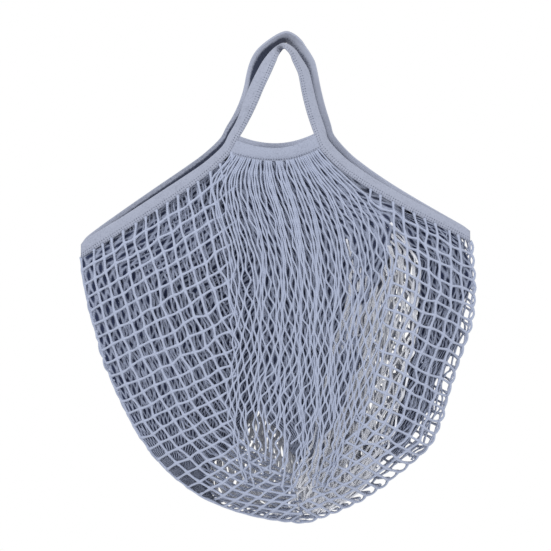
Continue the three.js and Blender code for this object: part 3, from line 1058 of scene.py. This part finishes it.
@dataclass
class PleatedNet(CordNet):
    """The net below a band, drawn together into pleats that open out as they run down."""

    extent: Table | None = None
    cells: int = 16
    row_height: float = 12 * MM
    lift: float = 3.0 * MM
    bunching: float = 0.015
    coarse_bunches: Wave = Wave(1.0, 0.0, 45.0)
    coarse_sway: Wave = Wave(3.0, 14.0, 0.0)
    fine_bunches: Wave = Wave(0.6, 31.0, 97.0)
    pleats: Wave = Wave(1.0, 9.0, 18 * math.pi)
    wave_height: float = 1.3 * MM
    fullness: float = 0.3
    ends_loose: int = 0
    widening: float = 0.0
    apart: float = 0.0
    apart_to: float = 0.66
    touching: Wave = Wave(1.0, 2.9, 5.3)
    touching_above: float = 0.82
    look_ahead: float = 0.3
    sideways_looseness: float = 1.6
    droop: float = 0.7
    steps: int = 5
    sides: int = 5

    def _bunches(self, row: np.ndarray, column: np.ndarray) -> np.ndarray:
        """Return how far the cords bunch sideways, in coarse waves that sway and in fine ones."""
        coarse = self.coarse_bunches.at(row, column, self.coarse_sway.at(row, column))
        return self.bunching * (coarse + self.fine_bunches.at(row, column))

    def _places(self, row: np.ndarray, column: np.ndarray) -> np.ndarray:
        """Return points by the share of all rows and the share of all columns.

        Args:
            row: Shares of all rows of the net.
            column: Shares of the way from the start to the end of the row.

        Returns:
            Rows of three numbers.
        """
        keys = self.extent.keys
        column = column + np.sin(math.pi * np.clip(column, 0, 1)) * self._bunches(row, column)
        place = np.clip(column, 0, 1)
        fullness = np.sin(math.pi * place) ** self.fullness
        place = lerp(place, place**2, self.widening * (row - keys[0]) / np.ptp(keys))
        start, end = self.extent.read("start", row), self.extent.read("end", row)
        points = self.shape.row_point(self.half, row, lerp(start, end, place))
        pleat = self.lift + self.wave_height * self.pleats.at(row, column)
        points[..., 1] += self.half.facing * pleat * fullness
        return points

    def _apart(self, share: np.ndarray, place: np.ndarray, index: np.ndarray) -> np.ndarray:
        """Return 0 where the cords touch in turn, up to 1 where they run side by side and never touch."""
        high = np.clip(2 * (self.apart_to - share) / (self.apart_to - self.extent.keys[0]), 0, 1)
        return self.apart * high * (self.touching.at(index, place) <= self.touching_above)

    def fill(self, parts: MeshParts) -> None:
        """Add all the cords.

        Args:
            parts: What it all is added to.
        """
        keys = self.extent.keys
        line = self.shape.row_point(self.half, keys, np.zeros(len(keys)))
        rows = int(lengths_along(line)[-1] / self.row_height)
        rng = np.random.default_rng(self.seed)
        row, column = whole_grid(rows, 2 * self.cells)
        row, column = row / rows, column / (2 * self.cells)
        row = np.clip(row + rng.normal(0, self.jitter / rows, row.shape) * (row > 0), 0, 1)
        sideways = self.sideways_looseness * self.jitter / (2 * self.cells)
        column = column + rng.normal(0, sideways, column.shape) * (row > 0)
        share = lerp(keys[0], keys[-1], row)
        points = self._places(share, column)
        step = self.look_ahead / rows * np.ptp(keys)
        down = unit(self._places(share + step, column) - self._places(share - step, column))
        index = np.arange(rows + 1)
        for strand in range(2 * self.cells):
            place = strand + (index + strand) % 2
            side = np.where(place == strand, 1, -1)
            apart = self._apart(share[index, place], place, index)
            middle = lerp(points[index, place], points[index, 2 * strand + 1 - place], apart[:, None] / 2)
            middle[:, 0] += side * self.knot_half_width * (1 - apart)
            last = len(middle) - int(rng.integers(0, self.ends_loose + 1))
            self.add_cord(parts, middle[:last], down[index, place][:last], rng)


@dataclass
class SlackNet(Piece):
    """Slack net that hangs bunched up inside the pouch, its cords lying close side by side, its colour
    darkened by painted shade, near black between the cords.
    """

    shape: BagShape
    extent: Table
    cord_spacing: float = 3.4 * MM
    cord_height: float = 1.7 * MM
    cord_share: float = 0.42
    cell_length: float = 19 * MM
    zigzag: float = 0.36
    uneven: Wave = Wave(0.13, 3.0, 12.9898)
    wander: tuple[Wave, ...] = (Wave(1.6, 5.1, 3.0), Wave(0.9, 11.0, -7.0, 1.0))
    across_step: float = 0.85 * MM
    down_step: float = 2.4 * MM
    inset: float = 0.62
    least_depth: float = 0.3 * MM
    swell: tuple[Wave, Wave] = (Wave(2.5 * MM, 4.0, 9.0), Wave(1.0, 7.0, 2.0))
    sides_shift: tuple[float, float] = (0.3, 0.2)
    ragged_start: Wave = Wave(0.02, 90.0, 1.0)
    ragged_end: Wave = Wave(0.02, 70.0, 2.0)
    straight_beyond: float = -0.9
    end_power: int = 8
    seed: int = 9
    # Painted shade: the tops of the cords get this shade and the valleys between them the valley shade, near
    # black.
    shade: float = 0.62
    valley_painted_shade: float = 0.0

    def _relief(self, beside: np.ndarray, down: np.ndarray) -> np.ndarray:
        """Return how high the cords stand, from 0 between them to 1 on top.

        Args:
            beside: Place across the cords, in cord spacings.
            down: Place along the cords, in cells.

        Returns:
            The height at each place.
        """
        height = np.zeros(np.broadcast(beside, down).shape)
        for offset in (-1, 0, 1):
            cord = np.round(beside) + offset
            turn = (1 - 2 * np.mod(cord, 2)) * self.zigzag * np.cos(2 * math.pi * down)
            middle = cord + turn + self.uneven.at(down, cord)
            gap = np.abs(beside - middle) / self.cord_share
            height = np.maximum(height, np.sqrt(np.maximum(1 - gap**2, 0)))
        return height

    def _thinning(self, share: np.ndarray) -> np.ndarray:
        """Return how thick the bunch is from one end (0) to the other (1): it thins to nothing at both."""
        return np.sqrt(np.clip(1 - (2 * share - 1) ** self.end_power, 0, 1))

    def fill(self, parts: MeshParts) -> None:
        """Add the bunch, its front and its back in one.

        Args:
            parts: What it all is added to.
        """
        rows, columns = self.extent.keys, self.extent.columns
        middle = self.shape.row_point(FRONT, rows, (columns["start"] + columns["end"]) / 2)
        length = lengths_along(middle)[-1]
        row = np.linspace(rows[0], rows[-1], int(length / self.down_step))[:, None]
        start, end = self.extent.read("start", row), self.extent.read("end", row)
        start = start + self.ragged_start.at(row, self.seed) * (start > self.straight_beyond)
        end = end + self.ragged_end.at(row, self.seed)
        edges = self.shape.row_point(FRONT, np.hstack([row, row]), np.hstack([start, end]))
        breadth = np.linalg.norm(edges[:, 1] - edges[:, 0], axis=-1).max()
        steps = int(breadth / self.across_step)
        share = (np.arange(steps + 1) / steps)[None]
        across = lerp(start, end, share)
        run = (row - rows[0]) / (rows[-1] - rows[0])
        down = run * length / self.cell_length
        beside = share * breadth / self.cord_spacing + sum(wave.at(run, share) for wave in self.wander)
        long_swell, short_swell = self.swell
        beside_shift, down_shift = self.sides_shift
        faces = []
        for half in (FRONT, BACK):
            surface = self.shape.row_point(half, np.broadcast_to(row, across.shape), across)
            relief = self._relief(beside + beside_shift * half.facing, down + down_shift * half.facing)
            swell = long_swell.at(run, share, half.facing) * short_swell.at(run, share)
            depth = np.abs(surface[..., 1]) * self.inset + swell + relief * self.cord_height
            thick = self._thinning(share) * self._thinning(run)
            surface[..., 1] = half.facing * np.maximum(depth, self.least_depth) * thick
            face = np.concatenate([surface, relief[..., None]], -1)
            faces.append(face if half is FRONT else face[:, ::-1])
        loop = np.concatenate(faces, 1)
        places = np.zeros((*loop.shape[:2], 2))
        places[..., 0] = down * self.cell_length
        # Painted shade: the valleys get the valley shade and the cord tops the plain shade.
        parts.add_loops(loop[..., :3], places, lerp(self.valley_painted_shade, self.shade, loop[..., 3]))


@dataclass
class Strap(Piece):
    """A flat strap with rounded edges, laid along a line with its lower edge on the net."""

    shape: BagShape
    half: Half
    face_steps: int = 14
    edge_steps: int = 5
    overlap: float = 1.0 * MM
    crown: float = 0.5 * MM

    def loop(self) -> tuple[np.ndarray, np.ndarray, np.ndarray]:
        """Return the loop around a strap.

        Returns:
            The share of the width, how far beyond an edge and how high each of its points lies.
        """
        flat = np.linspace(0, 1, self.face_steps + 1)
        bend = np.linspace(0, math.pi, self.edge_steps + 2)[1:-1]
        reach = np.concatenate([flat, 1 + 0 * bend, flat[::-1], 0 * bend])
        beyond = np.concatenate([0 * flat, np.sin(bend), 0 * flat, -np.sin(bend)])
        high = np.concatenate([0 * flat + 1, np.cos(bend), 0 * flat - 1, -np.cos(bend)])
        return reach, beyond, high

    def rounding(self) -> np.ndarray:
        """Return 1 in the middle of the strap's width and 0 at its edges, for the points of a loop."""
        return 1 - (2 * self.loop()[0] - 1) ** 2

    def lay(
        self, parts: MeshParts, line: dict[str, np.ndarray], thickness: float, relief: np.ndarray,
        shade: np.ndarray | float,
    ) -> None:
        """Add the strap.

        Args:
            parts: What it is added to.
            line: Its stations: the point, the direction across, the way it faces, the width and how
                far its lower edge moves down.
            thickness: How thick it is.
            relief: How far its surface stands out further, for each point of the loops.
            shade: Its painted light and shade.
        """
        across, radius = line["across"], thickness / 2
        face = unit(line["forward"] - across * np.sum(line["forward"] * across, -1, keepdims=True))
        reach, beyond, high = self.loop()
        body = (line["width"] + self.overlap - thickness)[:, None]
        sideways = radius - self.overlap + reach * body + beyond * radius - line["inward"][:, None]
        lift = high * (radius + self.crown * self.rounding()) + relief
        points = line["point"][:, None] + across[:, None] * sideways[..., None]
        points = points + face[:, None] * lift[..., None]
        along = np.broadcast_to(lengths_along(line["point"])[:, None], sideways.shape)
        parts.add_loops(points, np.stack([along, sideways], -1), shade)


class Stretch(Enum):
    """Stretches of a tape: middle and breadth as shares of its length, and how steeply they end."""

    LEFT_SHOULDER = (0.155, 0.13, 6)
    LEFT_LEG = (0.385, 0.085, 4)
    LEFT_LEG_BULGE = (0.395, 0.075, 2)
    FOLD = (0.478, 0.016, 2)
    TOP = (0.495, 0.035, 2)
    TOP_INSIDE = (0.525, 0.04, 2)

    def at(self, along: np.ndarray) -> np.ndarray:
        """Return 1 in the middle of the stretch, fading to 0 beyond its ends."""
        return hill(along, *self.value)


# The inside of the back tape gets painted shade from its lower edge up to a soft border, and painted light
# above it. For each number that says so: its plain value, and what the left leg and the left shoulder add to
# it.
INSIDE_SHADE = {
    "border": (0.45, 0.30, 0.29),
    "softness": (0.30, -0.15, -0.20),
    "darkness": (0.50, 0.45, 0.35),
    "paleness": (0.25, 0.00, -0.35),
}


@dataclass
class BindingTape(Strap):
    """The folded tape that edges both shoulders of one half and runs on as its handle."""

    substeps: int = 6
    ripples: tuple[Wave, Wave] = (Wave(0.35 * MM, 1 / (9 * MM), 2.0), Wave(1.0, 1 / (31 * MM), 0.0, 1.0))
    apex_reach: float = 1.1
    leg_reach: float = 3.8
    apex_rise: float = 2.2 * MM
    # Painted shade: how much the crease at the top of the handle and the front tape's inner face are
    # darkened.
    fold_painted_shade: float = 0.75
    front_inside_painted_shade: float = 0.3

    def stations(self) -> dict[str, np.ndarray]:
        """Return the tape's line with many more stations, all curves made smooth.

        Returns:
            What lay needs at each station, and how far along the tape it lies, from 0 to 1.
        """
        line = self.shape.tape_line(self.half)
        last = len(line["point"]) - 1
        fine = np.linspace(0, last, last * self.substeps + 1)

        def smooth(values: np.ndarray) -> np.ndarray:
            """Return the values on a smooth curve through those of the stations.

            Args:
                values: A row of numbers for each station.

            Returns:
                A row of numbers for each of the closer stations.
            """
            names = [f"c{i}" for i in range(values.shape[1])]
            rows = np.column_stack([np.arange(last + 1), values])
            table = Table("key", " ".join(["key", *names]), *rows)
            return np.stack([table.read(name, fine) for name in names], -1)

        along, half = fine / last, self.half
        turn = np.radians(smooth(line["turn"][:, None]))
        inward = self.apex_reach * half.apex_lift * Stretch.TOP_INSIDE.at(along)
        outward = self.leg_reach * half.leg_spread * Stretch.LEFT_LEG_BULGE.at(along)
        rise = self.apex_rise * Stretch.TOP.at(along)
        width = self.shape.tape_width * TAPE_WIDTHS.read("width", along)
        return {
            "point": smooth(line["point"]),
            "across": unit(smooth(line["across"])),
            "forward": np.array([0.0, half.facing, 0.0]) + np.array([0.0, 0.0, 1.0]) * np.sin(turn),
            "width": width + inward + outward + rise - half.slimming * Stretch.LEFT_SHOULDER.at(along),
            "inward": inward,
            "along": along,
        }

    def shade_at(self, along: np.ndarray, across: np.ndarray, inside: np.ndarray) -> np.ndarray:
        """Return the painted light and shade of the tape: painted shade darkens its inner faces and the
        crease at the top of the handle, and painted light pales the rim of the back tape's inner face.

        Args:
            along: Places along it, as shares of its length.
            across: Places across it, as shares of its width.
            inside: 1 for the points on its inner face and 0 for the others.

        Returns:
            The painted light and shade at each point of the loops.
        """
        # Painted shade in the crease at the top of the handle.
        shade = 1 - self.fold_painted_shade * Stretch.FOLD.at(along) * (1 - across) ** 0.5
        if self.half.facing < 0:
            return shade - self.front_inside_painted_shade * inside
        # Painted shade low on the back tape's inner face and painted light on its upper rim.
        leg, shoulder = Stretch.LEFT_LEG.at(along), Stretch.LEFT_SHOULDER.at(along)
        border, softness, darkness, paleness = (
            plain + leg * at_leg + shoulder * at_shoulder
            for plain, at_leg, at_shoulder in INSIDE_SHADE.values())
        return shade + inside * lerp(-darkness, paleness, np.clip((across - border) / softness, 0, 1))

    def fill(self, parts: MeshParts) -> None:
        """Add the tape.

        Args:
            parts: What it all is added to.
        """
        line = self.stations()
        reach, _, high = self.loop()
        along = lengths_along(line["point"])[:, None]
        short, long = (ripple.at(along, reach) for ripple in self.ripples)
        shade = self.shade_at(line["along"][:, None], reach[None], 1.0 - (high > 0)[None])
        self.lay(parts, line, self.shape.tape_thickness, short * long * self.rounding(), shade)


@dataclass
class MouthBand(Strap):
    """The sewn band that gathers the net at the middle of one half of the mouth."""

    steps: int = 90
    face_steps: int = 12
    overlap: float = 0.8 * MM
    crown: float = 0.7 * MM
    pucker: float = 0.25 * MM
    pucker_length: float = 3.2 * MM
    # Painted light and shade on the inner face of the back band: painted shade low down where it meets the
    # front band, and painted light on its upper part.
    inside_painted_shade: float = 0.5
    upper_painted_light: float = 1.35
    upper_from: float = 0.62
    upper_softness: float = 0.15

    def fill(self, parts: MeshParts) -> None:
        """Add the band.

        Args:
            parts: What it all is added to.
        """
        across = np.linspace(-1, 1, self.steps + 1)
        lower = self.shape.band_point(self.half, across)
        upper = self.shape.band_point(self.half, across, top=True)
        line = {
            "point": lower,
            "across": unit(upper - lower),
            "forward": np.broadcast_to((0.0, self.half.facing, 0.0), lower.shape),
            "width": np.linalg.norm(upper - lower, axis=-1),
            "inward": np.zeros(len(lower)),
        }
        reach, _, high = self.loop()
        wave = np.sin(2 * math.pi * lengths_along(lower) / self.pucker_length)[:, None]
        # Painted shade on the lower inner face of the back band and painted light above it; the front band
        # stays plain.
        above = np.clip((reach - self.upper_from) / self.upper_softness, 0, 1)
        inside = (high < 0) * (lerp(self.inside_painted_shade, self.upper_painted_light, above) - 1)
        shade = 1.0 if self.half.facing < 0 else 1.0 + inside
        self.lay(parts, line, self.shape.band_thickness, self.pucker * wave * (1 - reach) ** 2, shade)


@dataclass(frozen=True)
class Lamp:
    """A soft square lamp: where it stands, the side of its face and its power in watts."""

    name: str
    place: tuple[float, float, float]
    side: float
    power: float


@dataclass
class Studio:
    """A white room with soft light, and a camera that looks straight at the front."""

    picture_side: float = 551 * MM
    middle: tuple[float, float] = (-8.5 * MM, -226.5 * MM)
    distance: float = 3.0
    lens: float = 85.0
    far_limit: float = 50.0
    floor_height: float = -0.9
    floor_side: float = 6.0
    floor_white: tuple[float, float, float, float] = (0.86, 0.86, 0.86, 1)
    floor_roughness: float = 0.8
    room_white: tuple[float, float, float, float] = (1, 1, 1, 1)
    room_light: float = 1.0
    lamps: tuple[Lamp, ...] = (
        Lamp("key", (-1.1, -1.9, 1.3), 0.9, 26.0),
        Lamp("fill", (1.6, -1.6, 0.2), 1.2, 8.0),
    )

    def camera(self) -> None:
        """Set up the camera."""
        data = bpy.data.cameras.new("camera")
        data.lens = self.lens
        data.sensor_width = self.picture_side * self.lens / self.distance
        data.clip_end = self.far_limit
        camera = bpy.data.objects.new("camera", data)
        camera.location = (self.middle[0], -self.distance, self.middle[1])
        camera.rotation_euler = (math.pi / 2, 0, 0)
        bpy.context.scene.collection.objects.link(camera)
        bpy.context.scene.camera = camera

    def floor(self) -> None:
        """Lay a pale floor well below the bag."""
        half = self.floor_side / 2
        signs = ((-1, -1), (1, -1), (1, 1), (-1, 1))
        corners = [(x * half, y * half, self.floor_height) for x, y in signs]
        mesh = bpy.data.meshes.new("floor")
        mesh.from_pydata(corners, [], [(0, 1, 2, 3)])
        recipe = Recipe("floor_white")
        recipe.shader.inputs["Base Color"].default_value = self.floor_white
        recipe.shader.inputs["Roughness"].default_value = self.floor_roughness
        mesh.materials.append(recipe.material)
        floor = bpy.data.objects.new("floor", mesh)
        bpy.context.scene.collection.objects.link(floor)

    def light(self, lamp: Lamp) -> None:
        """Add a lamp that points at the middle of the bag.

        Args:
            lamp: The lamp.
        """
        data = bpy.data.lights.new(lamp.name, "AREA")
        data.size = lamp.side
        data.energy = lamp.power
        thing = bpy.data.objects.new(lamp.name, data)
        thing.location = lamp.place
        aim = Vector((self.middle[0], 0, self.middle[1])) - Vector(lamp.place)
        thing.rotation_euler = aim.to_track_quat("-Z", "Y").to_euler()
        bpy.context.scene.collection.objects.link(thing)

    def build(self) -> None:
        """Set up the camera, the floor, the white surroundings and the lamps."""
        self.camera()
        self.floor()
        world = bpy.data.worlds.new("white_room")
        world.use_nodes = True
        background = world.node_tree.nodes["Background"]
        background.inputs["Color"].default_value = self.room_white
        background.inputs["Strength"].default_value = self.room_light
        bpy.context.scene.world = world
        bpy.context.scene.view_settings.view_transform = "Standard"
        for lamp in self.lamps:
            self.light(lamp)


LEFT_LIMIT = Table(
    "down", "down across",
    (0.095, -0.042), (0.190, -0.046), (0.270, -0.040), (0.350, -0.048), (0.390, -0.034), (0.425, 0.010),
    (0.475, 0.026),
)
RIGHT_LIMIT = Table(
    "down", "down across",
    (0.100, 0.022), (0.145, 0.074), (0.168, 0.098), (0.210, 0.104), (0.250, 0.100), (0.290, 0.090),
    (0.330, 0.082), (0.365, 0.068), (0.395, 0.050), (0.430, 0.020), (0.475, 0.012),
)
CRESCENT_LIMIT = Table(
    "down", "down across",
    (0.180, 0.146), (0.200, 0.142), (0.250, 0.136), (0.320, 0.121), (0.360, 0.108), (0.400, 0.094),
    (0.420, 0.120), (0.475, 0.200),
)
EDGE_SPACING = Table(
    "row", "row share",
    (0.50, 1.00), (0.85, 0.92), (1.00, 0.82), (1.20, 0.74), (1.45, 0.70), (1.70, 0.85), (2.00, 1.00),
)
PLEATS = Table(
    "row", "row start end",
    (0.3125, -0.97, 0.97), (0.340, -0.93, 0.96), (0.375, -0.78, 0.93), (0.420, -0.61, 0.84),
    (0.460, -0.51, 0.75), (0.500, -0.46, 0.67), (0.550, -0.47, 0.60), (0.600, -0.49, 0.55),
    (0.650, -0.54, 0.51), (0.700, -0.56, 0.47), (0.750, -0.55, 0.42), (0.800, -0.56, 0.38),
    (0.860, -0.58, 0.34),
)
LEFT_SLACK = Table(
    "row", "row start end",
    (0.320, -0.998, 0.97), (0.375, -0.998, 0.75), (0.420, -0.998, 0.50), (0.460, -0.998, 0.30),
    (0.500, -0.998, 0.00), (0.550, -0.998, -0.17), (0.600, -0.998, -0.27), (0.650, -0.998, -0.33),
    (0.700, -0.998, -0.42), (0.750, -0.998, -0.56), (0.800, -0.998, -0.73), (0.850, -0.998, -0.90),
    (0.900, -0.998, -0.97),
)
MIDDLE_SLACK = Table(
    "row", "row start end",
    (0.3125, -0.97, 0.98), (0.340, -0.85, 0.99), (0.375, -0.65, 0.99), (0.420, -0.45, 0.98),
    (0.460, -0.38, 0.84), (0.500, -0.36, 0.60), (0.550, -0.38, 0.50), (0.600, -0.40, 0.46),
    (0.650, -0.42, 0.40), (0.700, -0.34, 0.28), (0.750, -0.22, 0.12), (0.790, -0.10, 0.00),
)
STRIP = Table(
    "row", "row start end",
    (0.430, 0.55, 0.90), (0.460, 0.55, 0.88), (0.500, 0.50, 0.84), (0.550, 0.42, 0.81),
    (0.600, 0.40, 0.79), (0.650, 0.38, 0.77), (0.700, 0.30, 0.76), (0.750, 0.15, 0.76),
    (0.800, 0.05, 0.74),
)
VEIL = Table(
    "row", "row start end",
    (0.430, 0.55, 0.86), (0.460, 0.50, 0.84), (0.500, 0.40, 0.79), (0.550, 0.30, 0.77),
    (0.600, 0.18, 0.75), (0.650, 0.08, 0.73), (0.700, 0.00, 0.72), (0.750, -0.08, 0.70),
    (0.800, -0.15, 0.68), (0.850, -0.22, 0.72), (0.900, -0.28, 0.76), (0.955, -0.30, 0.74),
)
LOWER = Table(
    "row", "row start end",
    (0.640, -0.46, 0.45), (0.690, -0.62, 0.45), (0.730, -0.69, 0.55), (0.760, -0.74, 0.60),
    (0.800, -0.76, 0.66), (0.850, -0.90, 0.72), (0.900, -0.92, 0.76), (0.950, -0.80, 0.70),
)
RIGHT_SLACK = Table(
    "row", "row start end",
    (0.395, 0.93, 0.998), (0.430, 0.84, 0.998), (0.460, 0.80, 0.998), (0.500, 0.765, 0.998),
    (0.550, 0.745, 0.99), (0.600, 0.73, 0.965), (0.650, 0.71, 0.95), (0.700, 0.69, 0.92),
    (0.750, 0.65, 0.88), (0.800, 0.60, 0.82),
)


def attach(piece: bpy.types.Object, slot: str, *nodes: str) -> None:
    """Let a piece hang with the bag and stand for its solids.

    Args:
        piece: The piece.
        slot: The name of the material slot meant for its finish; not used.
        nodes: The solids that it stands for.
    """
    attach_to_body(piece, "root")
    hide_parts(*nodes)
    log.info("%s: %d faces", piece.name, len(piece.data.polygons))


def net_pieces(shape: BagShape) -> dict[str, Piece]:
    """Return the pieces of the net by name, the outer ones first.

    Args:
        shape: The form of the bag.

    Returns:
        The front, the back and the pleats, and then the net that hangs inside the pouch.
    """
    # Shade values paint light and shade into the cords: painted shade makes the inner and slack nets darker,
    # and painted light makes the back net and the strip, lower and veil nets paler.
    thin = {"cord_radius": 0.9 * MM, "knot_radius": 1.2 * MM}
    downward = {
        **thin, "rows": 26, "has_rows": False, "jitter": 0.3, "slack": 1.4 * MM, "scallop": 0.0,
        "shade": 0.8}
    bunched = {"wave_height": 3 * MM, "jitter": 0.3}
    behind = {**bunched, "row_height": 9 * MM, "lift": -9 * MM}
    return {
        "net_front_left": GridNet(shape, FRONT, seed=5, limit=LEFT_LIMIT, jitter=0.07),
        "net_front_right": GridNet(
            shape, FRONT, seed=15, side=Side.RIGHT, limit=RIGHT_LIMIT, rows=27, lean=(0.0, 0.0, 8.0)),
        "net_back": NetPanel(shape, BACK, seed=21, shade=1.1),
        "net_pleats": PleatedNet(
            shape, FRONT, seed=8, extent=PLEATS, cells=24, row_height=10 * MM, ends_loose=10, widening=0.4,
            droop=0.85, apart=0.8, apart_to=0.53, slack=0.35 * MM, knot_half_width=0.45 * MM, **thin),
        "net_inner_left": GridNet(
            shape, FRONT, seed=3, limit=LEFT_LIMIT, spacing=4.6 * MM, inset=7 * MM, **downward),
        "net_inner_right": GridNet(
            shape, FRONT, seed=31, side=Side.RIGHT, limit=CRESCENT_LIMIT, spacing=5.2 * MM, inset=6 * MM,
            **downward),
        "net_slack_left": SlackNet(shape, LEFT_SLACK, shade=0.7, valley_painted_shade=0.03),
        "net_slack_middle": SlackNet(shape, MIDDLE_SLACK, seed=5, inset=0.86, shade=1.0, valley_painted_shade=0.12),
        "net_inner_strip": PleatedNet(
            shape, BACK, seed=6, extent=STRIP, cells=11, shade=1.3, cord_radius=1.2 * MM,
            knot_radius=1.5 * MM, **behind),
        "net_inner_lower": PleatedNet(
            shape, BACK, seed=7, extent=LOWER, cells=30, apart=0.7, apart_to=1.6, bunching=0.003, shade=1.4,
            cord_radius=1.7 * MM, knot_radius=1.9 * MM, ends_loose=3, **{**behind, "jitter": 0.2}),
        "net_inner_veil": PleatedNet(
            shape, FRONT, seed=17, extent=VEIL, cells=15, row_height=10 * MM, lift=-11 * MM, bunching=0.004,
            shade=1.4, cord_radius=1.1 * MM, knot_radius=1.4 * MM, ends_loose=3, **bunched),
        "net_slack_right": SlackNet(shape, RIGHT_SLACK, seed=13, shade=0.7),
    }


def main() -> None:
    """Build the room and the bag, piece by piece."""
    logging.basicConfig(level=logging.INFO, format="%(message)s")
    Studio().build()
    shape = BagShape()
    cord, tape, band = (finish.material() for finish in (CORD_COTTON, TAPE_COTTON, BAND_COTTON))
    for name, piece in net_pieces(shape).items():
        attach(piece.build(name, cord), "net_cord", "net_pouch")
    for half in (FRONT, BACK):
        tape_piece = BindingTape(shape, half).build(f"{half.name}_tape", tape)
        attach(tape_piece, "binding_tape", f"{half.name}_binding_tape")
        band_piece = MouthBand(shape, half).build(f"{half.name}_band", band)
        attach(band_piece, "mouth_band", f"{half.name}_mouth_band")


if __name__ == "__main__":
    main()
